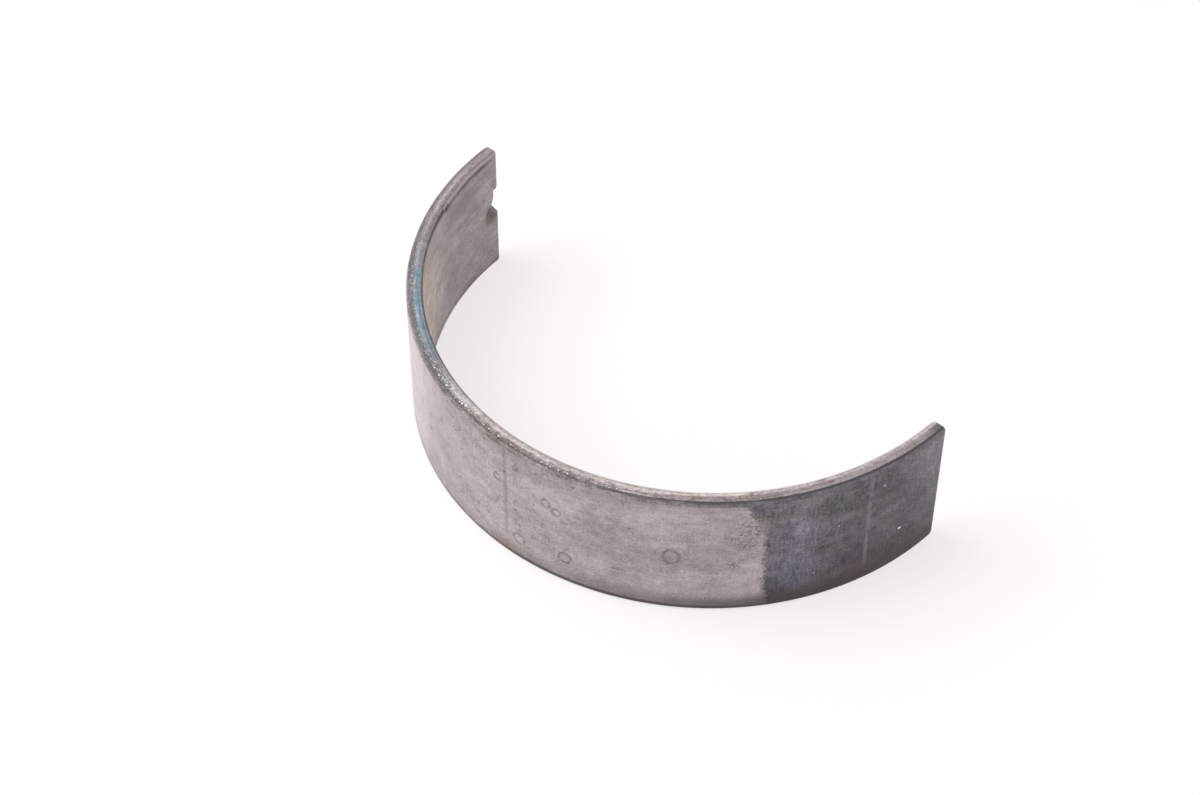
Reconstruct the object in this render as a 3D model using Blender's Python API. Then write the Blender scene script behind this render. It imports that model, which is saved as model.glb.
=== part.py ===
"""Engine bearing shell: one half of the plain bearing that carries a crankpin.

The shell is a half ring of steel strip with its soft lining bonded to the bore. It
stands on one side face, so the bearing axis is upright. The crown of the half ring is
toward -Y, the open side is toward +Y, and the parting face with the locating lug is on
the -X side. The origin is on the ground, in the middle of the footprint.
"""

from math import cos, pi, radians, sin, sqrt

import bmesh
import bpy
from mathutils import Vector

MM = 0.001

# Driving sizes of the half ring

HOUSING_BORE = 53.0 * MM          # bore that the shell is pressed into
FREE_SPREAD = 0.5 * MM            # a loose shell stands this much wider than that bore
CRUSH = 0.03 * MM                 # each end stands this far above the joint line of its housing
WALL_AT_CROWN = 1.5 * MM          # steel back and lining together
SHELL_WIDTH = 13.7 * MM           # from side face to side face
BORE_ECCENTRICITY = 0.012 * MM    # the bore is struck off the axis, so the wall thins toward its ends

# The bore is relieved beside each parting face

RELIEF_DEPTH = 0.03 * MM
RELIEF_LENGTH = 6.5 * MM          # measured round the wall, from the parting face

# Rounded edges along both side faces

OUTER_ROUND_DEPTH = 0.45 * MM     # taken off the side face
OUTER_ROUND_HEIGHT = 0.32 * MM    # taken off the back of the shell
INNER_ROUND = 0.18 * MM

# Rounded edges about each parting face

PARTING_ROUND_LENGTH = 0.45 * MM  # how far round the wall they run
PARTING_ROUND_INNER = 0.35 * MM
PARTING_ROUND_OUTER = 0.12 * MM
PARTING_ROUND_LOWER = 0.55 * MM
PARTING_ROUND_UPPER = 0.04 * MM

# Locating lug, pressed outward from the wall at one parting face

LUG_WIDTH = 3.1 * MM              # along the bearing axis, at its foot
LUG_ABOVE_MIDDLE = 0.94 * MM      # from the middle of the shell's width up to the middle of the lug
LUG_LENGTH = 2.1 * MM             # round the wall, until it runs out
LUG_SETBACK = 0.3 * MM            # from the parting face back to the end of the lug
LUG_HEIGHT = 0.88 * MM            # at the deeper, lower side
LUG_SHELF_HEIGHT = 0.47 * MM      # at the shallower, upper side
LUG_SHELF_WIDTH = 1.05 * MM
LUG_FLANK = 0.2 * MM              # steep flanks, sheared by the punch
LUG_ROUND = 0.12 * MM
LUG_RUN_ON = 0.3 * MM             # the wedge goes on this far inside the wall past its run-out
LUG_CREST = (2, 3, 4)             # corners of the lug's outline that are rounded
PUNCH_CLEARANCE = 0.1 * MM        # the trimmed end is this much wider than the lug on each side
CUT_MARGIN = 0.5 * MM             # cutting blocks reach this far past what they cut

# Fineness of the model

ARC_STEPS = 112
OUTER_ROUND_STEPS = 3
INNER_ROUND_STEPS = 2
PARTING_ROUND_STEPS = 3
LUG_ROUND_STEPS = 2
SMOOTH_ANGLE = radians(32)

# Finish

LINED_STEEL_COLOUR = (0.30, 0.28, 0.29, 1.0)
LINED_STEEL_ROUGHNESS = 0.42

# Sizes that follow from the ones above

OUTER_RADIUS = (HOUSING_BORE + FREE_SPREAD) / 2
HALF_ARC = (pi * HOUSING_BORE / 4 + CRUSH) / OUTER_RADIUS
STRUCK_RADIUS = OUTER_RADIUS - WALL_AT_CROWN + BORE_ECCENTRICITY
LUG_BOTTOM = SHELL_WIDTH / 2 + LUG_ABOVE_MIDDLE - LUG_WIDTH / 2
LUG_TOP = LUG_BOTTOM + LUG_WIDTH
HALF_WALL = WALL_AT_CROWN / 2


def clear_scene():
    for old in list(bpy.data.objects):
        bpy.data.objects.remove(old, do_unlink=True)


def lined_steel():
    """Bare steel back with a grey bearing lining, one finish for the whole strip."""
    material = bpy.data.materials.new("lined_steel")
    material.use_nodes = True
    shader = material.node_tree.nodes["Principled BSDF"]
    shader.inputs["Base Color"].default_value = LINED_STEEL_COLOUR
    shader.inputs["Roughness"].default_value = LINED_STEEL_ROUGHNESS
    shader.inputs["Metallic"].default_value = 1.0
    return material


def on_ring(radius, angle, height):
    """A point at a radius from the bearing axis. The angle is 0 at the crown and grows toward +X."""
    return Vector((radius * sin(angle), -radius * cos(angle), height))


def ring_centre():
    """Where the bearing axis stands, so that the origin is in the middle of the footprint."""
    lug_reach = max(LUG_HEIGHT, LUG_SHELF_HEIGHT) * (1 - LUG_SETBACK / LUG_LENGTH)
    depth = OUTER_RADIUS - (OUTER_RADIUS - WALL_AT_CROWN) * cos(HALF_ARC)
    return Vector((lug_reach / 2, OUTER_RADIUS - depth / 2, 0))


def bore_radius_at(angle):
    """Distance from the axis to the bore, which is struck off the axis and relieved beside its ends."""
    offset = BORE_ECCENTRICITY
    struck = sqrt(STRUCK_RADIUS**2 - (offset * sin(angle)) ** 2) - offset * cos(angle)
    from_parting_face = (HALF_ARC - abs(angle)) * OUTER_RADIUS
    relief_share = max(0.0, 1.0 - from_parting_face / RELIEF_LENGTH)
    return struck + RELIEF_DEPTH * relief_share


def quarter_steps(steps):
    """Angles over a quarter turn, both ends counted."""
    return [pi / 2 * i / steps for i in range(steps + 1)]


def edge_round(radius, height, across, up, steps):
    """Points round one edge of the wall, from its curved face to its side face, as radius and height."""
    return [
        (radius + across * (1 - cos(turn)), height + up * (1 - sin(turn)))
        for turn in quarter_steps(steps)
    ]


def wall_section(inner):
    """Outline of the wall cut across, as radius and height, going round it once."""
    outer = OUTER_RADIUS
    top = SHELL_WIDTH
    lower_inner = edge_round(inner, 0.0, INNER_ROUND, INNER_ROUND, INNER_ROUND_STEPS)
    lower_outer = edge_round(outer, 0.0, -OUTER_ROUND_DEPTH, OUTER_ROUND_HEIGHT, OUTER_ROUND_STEPS)
    upper_outer = edge_round(outer, top, -OUTER_ROUND_DEPTH, -OUTER_ROUND_HEIGHT, OUTER_ROUND_STEPS)
    upper_inner = edge_round(inner, top, INNER_ROUND, -INNER_ROUND, INNER_ROUND_STEPS)
    return lower_inner + lower_outer[::-1] + upper_outer + upper_inner[::-1]


def drawn_in(section, inner, share):
    """The wall outline drawn in on every side, by a share of the rounding about a parting face."""
    wall = OUTER_RADIUS - inner
    thinner = 1 - share * (PARTING_ROUND_INNER + PARTING_ROUND_OUTER) / wall
    lower = 1 - share * (PARTING_ROUND_LOWER + PARTING_ROUND_UPPER) / SHELL_WIDTH
    return [
        (
            inner + share * PARTING_ROUND_INNER + (radius - inner) * thinner,
            share * PARTING_ROUND_LOWER + height * lower,
        )
        for radius, height in section
    ]


def loft(rings):
    """A closed solid through rings of points, with a flat face on the first ring and on the last."""
    mesh = bmesh.new()
    rows = [[mesh.verts.new(point) for point in ring] for ring in rings]
    count = len(rows[0])
    for here, there in zip(rows, rows[1:]):
        for i in range(count):
            j = (i + 1) % count
            mesh.faces.new((here[i], here[j], there[j], there[i]))
    mesh.faces.new(rows[0])
    mesh.faces.new(rows[-1])
    bmesh.ops.recalc_face_normals(mesh, faces=mesh.faces)
    return mesh


def make_object(name, mesh):
    data = bpy.data.meshes.new(name)
    mesh.to_mesh(data)
    mesh.free()
    thing = bpy.data.objects.new(name, data)
    thing.location = ring_centre()
    bpy.context.scene.collection.objects.link(thing)
    return thing


def stations():
    """Where the wall is sectioned: the angle, and how far the parting face's rounding draws it in there."""
    found = []
    for turn in quarter_steps(PARTING_ROUND_STEPS):
        from_face = PARTING_ROUND_LENGTH * (1 - cos(turn))
        found.append((HALF_ARC - from_face / OUTER_RADIUS, 1 - sin(turn)))
    found.append((HALF_ARC - RELIEF_LENGTH / OUTER_RADIUS, 0.0))
    found += [(-angle, share) for angle, share in found]
    step = 2 * HALF_ARC / ARC_STEPS
    named_angles = [angle for angle, _ in found]
    for i in range(1, ARC_STEPS):
        angle = -HALF_ARC + i * step
        if min(abs(angle - named) for named in named_angles) > step / 2:
            found.append((angle, 0.0))
    return sorted(found)


def build_half_ring():
    """The formed strip, before the lug is pressed into it."""
    rings = []
    for angle, share in stations():
        inner = bore_radius_at(angle)
        section = drawn_in(wall_section(inner), inner, share)
        rings.append([on_ring(radius, angle, height) for radius, height in section])
    return make_object("bearing_shell", loft(rings))


def lug_outline(surface, rise_share):
    """Outline of the lug over a wall surface, as radius and height, from its buried lower edge upward."""
    buried_below = HALF_WALL * LUG_FLANK / LUG_HEIGHT
    buried_above = HALF_WALL * LUG_FLANK / LUG_SHELF_HEIGHT
    return [
        (surface - HALF_WALL, LUG_BOTTOM - buried_below),
        (surface, LUG_BOTTOM),
        (surface + LUG_HEIGHT * rise_share, LUG_BOTTOM + LUG_FLANK),
        (surface + LUG_SHELF_HEIGHT * rise_share, LUG_TOP - LUG_FLANK - LUG_SHELF_WIDTH),
        (surface + LUG_SHELF_HEIGHT * rise_share, LUG_TOP - LUG_FLANK),
        (surface, LUG_TOP),
        (surface - HALF_WALL, LUG_TOP + buried_above),
    ]


def at_lug_end(outlines):
    """Rings of points from pairs of a distance back from the lug's parting face and an outline there."""
    outward = on_ring(1, -HALF_ARC, 0)
    back = Vector((cos(HALF_ARC), -sin(HALF_ARC), 0))
    return [
        [outward * radius + back * distance + Vector((0, 0, height)) for radius, height in outline]
        for distance, outline in outlines
    ]


def lug_wedge(name, surface_radius, start, finish):
    """A wedge over a wall surface, highest at the parting face and running out along the wall."""
    chord_drop = surface_radius - sqrt(surface_radius**2 - LUG_LENGTH**2)
    outlines = []
    for distance in (start, finish):
        share = distance / LUG_LENGTH
        outlines.append((distance, lug_outline(surface_radius - chord_drop * share, 1 - share)))
    mesh = loft(at_lug_end(outlines))
    round_crest(mesh)
    return make_tool(name, mesh)


def round_crest(mesh):
    """Rounds the edges that run along the top of a lug wedge, from its first outline to its second."""
    mesh.verts.ensure_lookup_table()
    around = len(mesh.verts) // 2
    crest = [mesh.edges.get((mesh.verts[i], mesh.verts[i + around])) for i in LUG_CREST]
    bmesh.ops.bevel(mesh, geom=crest, offset=LUG_ROUND, segments=LUG_ROUND_STEPS, affect="EDGES")


def lug_trim():
    """The block that takes the end of the lug back from the parting face."""
    inside = OUTER_RADIUS - WALL_AT_CROWN - CUT_MARGIN
    outside = OUTER_RADIUS + LUG_HEIGHT + CUT_MARGIN
    low = LUG_BOTTOM - PUNCH_CLEARANCE
    high = LUG_TOP + PUNCH_CLEARANCE
    outline = [(inside, low), (outside, low), (outside, high), (inside, high)]
    return make_tool("lug_end_trim", loft(at_lug_end([(-CUT_MARGIN, outline), (LUG_SETBACK, outline)])))


def make_tool(name, mesh):
    tool = make_object(name, mesh)
    tool.hide_render = True
    tool.display_type = "WIRE"
    return tool


def press_lug(shell):
    """Pushes the lug out of the wall: metal is added on the back and the same amount leaves the bore."""
    inside_trim = LUG_SETBACK / 2
    on_back = lug_wedge("lug_on_back", OUTER_RADIUS, inside_trim, LUG_LENGTH + LUG_RUN_ON)
    hollow = lug_wedge("hollow_behind_lug", bore_radius_at(HALF_ARC), -LUG_SETBACK, LUG_LENGTH)
    for tool, operation in ((on_back, "UNION"), (hollow, "DIFFERENCE"), (lug_trim(), "DIFFERENCE")):
        press = shell.modifiers.new(tool.name, "BOOLEAN")
        press.object = tool
        press.operation = operation
        press.solver = "EXACT"


def main():
    clear_scene()
    shell = build_half_ring()
    press_lug(shell)
    shell.data.shade_smooth()
    shell.data.set_sharp_from_angle(angle=SMOOTH_ANGLE)
    shell.data.materials.append(lined_steel())


main()
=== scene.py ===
"""Looks of the engine bearing shell: a used half ring of lined steel that stands on its side face.

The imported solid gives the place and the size. One finely made shell stands for it, with the same
wall, rounded edges, locating lug and hollow, and with the small damage of use along its edges.
Places on the strip are in millimetres: along the back from the crown toward the plain parting
face, up from the lower side face, and deep from the back toward the bore.
"""

from math import cos, pi, radians, sin

import bmesh
import bpy
import numpy as np
from mathutils import Euler, Matrix, Vector, noise


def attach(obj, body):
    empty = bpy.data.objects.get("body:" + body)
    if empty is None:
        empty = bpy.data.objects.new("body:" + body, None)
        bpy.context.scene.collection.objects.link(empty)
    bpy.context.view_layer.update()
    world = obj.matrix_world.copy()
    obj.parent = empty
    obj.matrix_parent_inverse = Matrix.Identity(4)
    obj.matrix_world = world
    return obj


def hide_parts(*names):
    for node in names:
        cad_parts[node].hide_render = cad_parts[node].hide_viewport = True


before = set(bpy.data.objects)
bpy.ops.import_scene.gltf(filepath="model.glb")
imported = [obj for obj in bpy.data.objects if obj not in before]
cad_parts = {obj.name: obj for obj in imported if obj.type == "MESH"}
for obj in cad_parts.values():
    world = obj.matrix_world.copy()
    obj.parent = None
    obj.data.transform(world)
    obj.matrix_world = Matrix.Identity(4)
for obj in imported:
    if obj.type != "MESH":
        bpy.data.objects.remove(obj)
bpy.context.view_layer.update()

MM = 0.001

# The half ring, as it was made

BACK_RADIUS = 26.75
WALL = 1.5
WIDTH = 13.7
HALF_ARC = 1.557240
BORE_OFFSET = 0.012
RELIEF_DEPTH = 0.03
RELIEF_LENGTH = 6.5
RING_CENTRE = Vector((0.377143, 13.546175, 0.0))

# Rounded edges

BACK_ROUND_DEPTH = 0.45
BACK_ROUND_HEIGHT = 0.32
BORE_ROUND = 0.18
END_ROUND = 0.45
END_ROUND_BORE = 0.35
END_ROUND_BACK = 0.12
END_ROUND_LOW = 0.55
END_ROUND_HIGH = 0.04

# Locating lug

LUG_BOTTOM = 6.24
LUG_TOP = 9.34
LUG_FLANK = 0.2
LUG_SHELF = 1.05
LUG_HEIGHT = 0.88
LUG_SHELF_HEIGHT = 0.47
LUG_LENGTH = 2.1
LUG_SETBACK = 0.3
LUG_SOFTNESS = 0.1
PUNCH_CLEARANCE = 0.1
SETBACK_FADE = 1.3

# Damage along the edges

NICK_ALONG = -32.4
NICK_LENGTH = 0.32
NICK_DEPTH = 0.18
DENT_DEPTH = 0.03
DENT_SIZE = 0.5
BATTERED_FROM = -28.0
BATTERED_TO = 13.0

# On the lug side and on the plain side of the battered stretch: how far its wear takes to fade,
# and the share of the wear that is left beyond

WEAR_FADE = (5.0, 8.0)
WEAR_LEFT = (0.3, 0.12)

# Fineness of the mesh: steps round each edge, and spacing of rows and columns

BORE_ROUND_STEPS = 6
BACK_ROUND_STEPS = 10
LOW_BACK_ROUND_STEPS = 8
LOW_BORE_ROUND_STEPS = 4
END_ROUND_STEPS = 6
SIDE_STEPS = 10
FLAT_MARGIN = 0.55
ROW_SPACING = {"finest": 0.03, "coarsest": 0.75, "growth": 0.4}
COLUMN_SPACING = {"finest": 0.06, "coarsest": 0.16, "growth": 0.08}
SHARP_ANGLE = radians(40)

HALF_LENGTH = HALF_ARC * BACK_RADIUS
BORE, SIDE, EDGE, BACK, END = range(5)


# ---------------------------------------------------------------- shape of the shell


def graded(start, end, lines, finest, coarsest, growth):
    """Places from start to end, close together beside the lines and wider apart away from them."""
    places = [start]
    while places[-1] < end:
        here = places[-1]
        gap = min(abs(here - line) for line in lines)
        ahead = min((line - here for line in lines if line > here + finest / 2), default=coarsest)
        step = min(finest + growth * gap, coarsest, max(ahead, finest))
        places.append(here + step)
    places = np.array(places)
    return start + (places - start) * (end - start) / (places[-1] - start)


def bore_radius(angle):
    """The bore is struck a little off the axis and relieved beside its parting faces."""
    struck = BACK_RADIUS - WALL + BORE_OFFSET
    plain = np.sqrt(struck**2 - (BORE_OFFSET * np.sin(angle)) ** 2) - BORE_OFFSET * np.cos(angle)
    from_end = (HALF_ARC - np.abs(angle)) * BACK_RADIUS
    return plain + RELIEF_DEPTH * np.clip(1 - from_end / RELIEF_LENGTH, 0, 1)


def lug_profile(height):
    """How far the lug stands out at each height on the wall, with softened corners."""
    shelf_start = LUG_TOP - LUG_FLANK - LUG_SHELF
    corners = [LUG_BOTTOM, LUG_BOTTOM + LUG_FLANK, shelf_start, LUG_TOP - LUG_FLANK, LUG_TOP]
    rise = [0, LUG_HEIGHT, LUG_SHELF_HEIGHT, LUG_SHELF_HEIGHT, 0]
    spread = np.linspace(-LUG_SOFTNESS, LUG_SOFTNESS, 9)
    return np.mean([np.interp(height + shift, corners, rise) for shift in spread], axis=0)


def lug_rise(from_end, height):
    """Height of the lug, and depth of the hollow behind it."""
    return lug_profile(height) * np.clip(1 - from_end / LUG_LENGTH, 0, 1)


def trimmed_share(height):
    """1 where the lug's end is set back from the parting face, and 0 beside it."""
    low = LUG_BOTTOM - PUNCH_CLEARANCE
    high = LUG_TOP + PUNCH_CLEARANCE
    edge = 0.02
    return np.interp(height, [low - edge, low + edge, high - edge, high + edge], [0, 1, 1, 0])


def wall_rows():
    """Rows along the strip, once round the wall: their surface, nominal radius and height."""
    inner = BACK_RADIUS - WALL
    lug_lines = [
        LUG_BOTTOM - PUNCH_CLEARANCE,
        LUG_BOTTOM,
        LUG_BOTTOM + LUG_FLANK,
        LUG_TOP - LUG_FLANK - LUG_SHELF,
        LUG_TOP - LUG_FLANK,
        LUG_TOP,
        LUG_TOP + PUNCH_CLEARANCE,
    ]
    flat = graded(FLAT_MARGIN, WIDTH - FLAT_MARGIN, lug_lines, **ROW_SPACING)
    rows = [(BORE, inner, BORE_ROUND)]
    rows += [(BORE, inner, z) for z in flat]
    rows += [(BORE, inner, WIDTH - BORE_ROUND)]
    turn = np.linspace(0, pi / 2, BORE_ROUND_STEPS + 1)[1:]
    rows += [
        (BORE, inner + BORE_ROUND * (1 - cos(t)), WIDTH - BORE_ROUND * (1 - sin(t)))
        for t in turn
    ]
    side = np.linspace(inner + BORE_ROUND, BACK_RADIUS - BACK_ROUND_DEPTH, SIDE_STEPS + 1)[1:]
    rows += [(SIDE, radius, WIDTH) for radius in side]
    turn = np.linspace(pi / 2, 0, BACK_ROUND_STEPS + 1)[1:]
    rows += [
        (
            EDGE,
            BACK_RADIUS - BACK_ROUND_DEPTH * (1 - cos(t)),
            WIDTH - BACK_ROUND_HEIGHT * (1 - sin(t)),
        )
        for t in turn
    ]
    rows += [(BACK, BACK_RADIUS, z) for z in flat[::-1]]
    rows += [(BACK, BACK_RADIUS, BACK_ROUND_HEIGHT)]
    turn = np.linspace(0, pi / 2, LOW_BACK_ROUND_STEPS + 1)[1:]
    rows += [
        (EDGE, BACK_RADIUS - BACK_ROUND_DEPTH * (1 - cos(t)), BACK_ROUND_HEIGHT * (1 - sin(t)))
        for t in turn
    ]
    rows += [(SIDE, radius, 0.0) for radius in side[::-2][1:]]
    rows += [(SIDE, inner + BORE_ROUND, 0.0)]
    turn = np.linspace(pi / 2, 0, LOW_BORE_ROUND_STEPS + 1)[1:-1]
    rows += [
        (BORE, inner + BORE_ROUND * (1 - cos(t)), BORE_ROUND * (1 - sin(t)))
        for t in turn
    ]
    return rows, len(flat)


def columns():
    """Distances along the back from the lug's parting face, where the wall is sectioned."""
    turns = np.linspace(0, pi / 2, END_ROUND_STEPS + 1)
    round_places = END_ROUND * (1 - np.cos(turns))
    total = 2 * HALF_LENGTH
    fine_places = [END_ROUND, LUG_LENGTH, NICK_ALONG + HALF_LENGTH]
    middle = graded(END_ROUND, total - END_ROUND, fine_places, **COLUMN_SPACING)
    return np.concatenate([round_places[:-1], middle, total - round_places[::-1][1:]])


def uneven(along, size, seed):
    """Smooth uneven values from about -1 to 1 along an edge, the same on every run."""
    return np.array([noise.noise(Vector((a / size, seed, 0.5 * seed))) for a in along])


def worn_edges(surface, along, radius, height):
    """Small dents along the edges of the upper side face, and the nick in the bore's edge."""
    middle = len(along) // 2
    height = height.copy()
    radius = radius.copy()
    nick = np.exp(-(((along - NICK_ALONG) / NICK_LENGTH) ** 2))
    ends = [BATTERED_FROM - WEAR_FADE[0], BATTERED_FROM, BATTERED_TO, BATTERED_TO + WEAR_FADE[1]]
    battered = np.interp(along, ends, [WEAR_LEFT[0], 1.0, 1.0, WEAR_LEFT[1]])
    for i in np.flatnonzero(height[middle] > WIDTH / 2):
        deep = BACK_RADIUS - radius[middle, i]
        if surface[i] == BORE and height[middle, i] > WIDTH - BORE_ROUND - 0.01:
            height[:, i] -= NICK_DEPTH * nick
            radius[:, i] += 0.5 * NICK_DEPTH * nick
        if surface[i] in (EDGE, SIDE):
            near_edge = np.exp(-(((deep - BACK_ROUND_DEPTH) / 0.2) ** 2))
            hollows = uneven(along + 0.3 * deep, DENT_SIZE, 3.1 + deep) + 0.4
            height[:, i] -= DENT_DEPTH * near_edge * battered * np.clip(hollows, 0, 1.2)
    return height, radius


def shell_points():
    """Every point of the shell by column and row, and its place on the strip."""
    rows, _ = wall_rows()
    surface = np.array([row[0] for row in rows])
    radius = np.array([row[1] for row in rows])[None, :]
    height = np.array([row[2] for row in rows])[None, :]
    from_lug_end = columns()[:, None]

    trim = trimmed_share(height) * np.clip(1 - from_lug_end / SETBACK_FADE, 0, 1)
    from_lug_end = from_lug_end + LUG_SETBACK * trim
    along = from_lug_end - HALF_LENGTH
    angle = along / BACK_RADIUS
    from_end = np.minimum(from_lug_end, 2 * HALF_LENGTH - from_lug_end)

    inner = bore_radius(angle)
    share_of_wall = (radius - BACK_RADIUS + WALL) / WALL
    closeness = np.clip(1 - from_end / END_ROUND, 0, 1)
    drawn = 1 - np.sqrt(1 - closeness**2)
    wall = BACK_RADIUS - inner
    thinner = wall - drawn * (END_ROUND_BORE + END_ROUND_BACK)
    radius = inner + drawn * END_ROUND_BORE + share_of_wall * thinner
    lower = 1 - drawn * (END_ROUND_LOW + END_ROUND_HIGH) / WIDTH
    height = drawn * END_ROUND_LOW + height * lower
    height, radius = worn_edges(surface, along[:, 0], radius, height)

    on_face = np.isin(surface, (BORE, BACK))[None, :]
    rise = lug_rise(from_lug_end, height) * on_face
    radius = radius + rise

    points = np.stack([radius * np.sin(angle), -radius * np.cos(angle), height], axis=-1)
    places = np.stack([along + 0 * radius, height, BACK_RADIUS + rise - radius], axis=-1)
    return points, places, surface


def cap_faces(ring, flat_count, surface):
    """Faces over the wall's section at a parting face: strips across it, and its rounded ends."""
    bore_rows = list(range(flat_count + 2))
    back_start = int(np.flatnonzero(surface == BACK)[0]) - 1
    back_rows = list(range(back_start, back_start + flat_count + 2))[::-1]
    faces = [
        [bore_rows[i], bore_rows[i + 1], back_rows[i + 1], back_rows[i]]
        for i in range(flat_count + 1)
    ]
    faces.append(list(range(bore_rows[-1], back_rows[-1] + 1)))
    faces.append(list(range(back_rows[0], len(ring))) + [0])
    return [[int(ring[i]) for i in face] for face in faces]


def build_shell():
    """The shell's mesh: a tube of wall sections with a cap on each parting face."""
    points, places, surface = shell_points()
    flat_count = wall_rows()[1]
    column_count, row_count = points.shape[:2]
    index = np.arange(column_count * row_count).reshape(column_count, row_count)
    around = np.roll(index, -1, axis=1)
    quads = np.stack([index[:-1], index[1:], around[1:], around[:-1]], axis=-1).reshape(-1, 4)
    faces = quads.tolist()
    materials = np.tile(np.roll(surface, -1), column_count - 1).tolist()
    for column in (0, column_count - 1):
        caps = cap_faces(index[column], flat_count, surface)
        faces += caps
        materials += [END] * len(caps)

    data = bpy.data.meshes.new("bearing_shell_finish")
    data.from_pydata((points.reshape(-1, 3) * MM).tolist(), [], faces)
    data.polygons.foreach_set("material_index", materials)
    place = data.attributes.new("strip_place", "FLOAT_VECTOR", "POINT")
    place.data.foreach_set("vector", places.reshape(-1).astype(np.float32))
    mesh = bmesh.new()
    mesh.from_mesh(data)
    bmesh.ops.recalc_face_normals(mesh, faces=mesh.faces)
    mesh.to_mesh(data)
    mesh.free()
    data.shade_smooth()
    data.set_sharp_from_angle(angle=SHARP_ANGLE)
    data.transform(Matrix.Translation(RING_CENTRE * MM))
    shell = bpy.data.objects.new("bearing_shell_finish", data)
    bpy.context.scene.collection.objects.link(shell)
    return shell


# ---------------------------------------------------------------- wiring of materials


class Wiring:
    """Adds nodes to one node tree and joins them."""

    def __init__(self, tree):
        self.tree = tree
        self.nodes = tree.nodes

    def put(self, socket, value):
        """Joins a node's output to the socket, or sets the socket to a plain value."""
        if isinstance(value, bpy.types.NodeSocket):
            self.tree.links.new(value, socket)
        elif value is not None:
            socket.default_value = value

    def math(self, operation, a, b=None, c=None):
        node = self.nodes.new("ShaderNodeMath")
        node.operation = operation
        for socket, value in zip(node.inputs, (a, b, c)):
            self.put(socket, value)
        return node.outputs[0]

    def times(self, first, *others):
        for other in others:
            first = self.math("MULTIPLY", first, other)
        return first

    def plus(self, a, b):
        return self.math("ADD", a, b)

    def minus(self, a, b):
        return self.math("SUBTRACT", a, b)

    def most(self, a, b):
        return self.math("MAXIMUM", a, b)

    def vector(self, x, y, z=0.0):
        node = self.nodes.new("ShaderNodeCombineXYZ")
        for socket, value in zip(node.inputs, (x, y, z)):
            self.put(socket, value)
        return node.outputs[0]

    def parts(self, vector):
        node = self.nodes.new("ShaderNodeSeparateXYZ")
        self.put(node.inputs[0], vector)
        return node.outputs[0], node.outputs[1], node.outputs[2]

    def scaled(self, vector, scales):
        node = self.nodes.new("ShaderNodeVectorMath")
        node.operation = "MULTIPLY"
        self.put(node.inputs[0], vector)
        self.put(node.inputs[1], scales)
        return node.outputs[0]

    def noise(self, vector, scale, detail=3.0, roughness=0.55):
        """Cloudy values about 0.5. At a scale of 1, the clouds are about a millimetre wide."""
        node = self.nodes.new("ShaderNodeTexNoise")
        self.put(node.inputs["Vector"], vector)
        self.put(node.inputs["Scale"], scale)
        self.put(node.inputs["Detail"], detail)
        self.put(node.inputs["Roughness"], roughness)
        return node.outputs[0]

    def range(self, value, low, high, to_low=0.0, to_high=1.0, smooth=True):
        """Goes from to_low at low to to_high at high. Low may also be the larger one."""
        node = self.nodes.new("ShaderNodeMapRange")
        node.interpolation_type = "SMOOTHSTEP" if smooth else "LINEAR"
        for socket, number in zip(node.inputs, (value, low, high, to_low, to_high)):
            self.put(socket, number)
        return node.outputs[0]

    def stretch(self, value, starts, full, fades, ends):
        """1 from full to fades, and 0 before it starts and after it ends."""
        return self.times(self.range(value, starts, full), self.range(value, ends, fades))

    def mix(self, factor, a, b, blend="MIX"):
        node = self.nodes.new("ShaderNodeMix")
        node.data_type = "RGBA"
        node.blend_type = blend
        self.put(node.inputs[0], factor)
        self.put(node.inputs[6], a)
        self.put(node.inputs[7], b)
        return node.outputs[2]

    def toned(self, colour, tone):
        """The colour, lighter where the tone is above 1 and darker where it is below."""
        return self.mix(1.0, colour, tone, "MULTIPLY")

    def stain(self, colour, mask, paint, strength):
        """The colour, with the paint over it where the mask is."""
        return self.mix(self.times(mask, strength), colour, paint)

    def place(self):
        """Where a point is on the strip, in millimetres: along, up and deep."""
        node = self.nodes.new("ShaderNodeAttribute")
        node.attribute_name = "strip_place"
        return node.outputs["Vector"]

    def group(self, name, **values):
        """Outputs of a shared group, placed here with its own values."""
        node = self.nodes.new("ShaderNodeGroup")
        node.node_tree = bpy.data.node_groups[name]
        for label, value in values.items():
            self.put(node.inputs[label.replace("_", " ").title()], value)
        return node.outputs

    def spot(self, place, middle, reach, **values):
        """Mask of a soft uneven patch. Its middle and its reach are given along, up and deep."""
        return self.group("patch", place=place, middle=middle, reach=reach, **values)["Mask"]

    def stripe(self, value, middle, half_width, softness):
        """Mask of a band about a middle value."""
        values = {"middle": middle, "half_width": half_width, "softness": softness}
        return self.group("band", value=value, **values)["Mask"]

    def bump(self, height, distance):
        node = self.nodes.new("ShaderNodeBump")
        self.put(node.inputs["Distance"], distance)
        self.put(node.inputs["Height"], height)
        return node.outputs[0]


def new_group(name, inputs, outputs):
    """An empty node group. Inputs are names with a default, a number or a vector."""
    tree = bpy.data.node_groups.new(name, "ShaderNodeTree")
    for label, default in inputs.items():
        kind = "NodeSocketVector" if isinstance(default, tuple) else "NodeSocketFloat"
        socket = tree.interface.new_socket(name=label, in_out="INPUT", socket_type=kind)
        socket.default_value = default
    for label in outputs:
        tree.interface.new_socket(name=label, in_out="OUTPUT", socket_type="NodeSocketFloat")
    given = tree.nodes.new("NodeGroupInput").outputs
    result = tree.nodes.new("NodeGroupOutput").inputs
    return Wiring(tree), given, result


NOWHERE = (0.0, 0.0, 0.0)

# Reach of a patch in a direction in which it should have no end

THROUGH = 9.0

# Places along the back, from the crown

OIL_START = 23.75
DARK_RUB_ALONG = 0.34
PALE_RUB_ALONG = 33.3
HOLLOW_ALONG = -40.4


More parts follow.
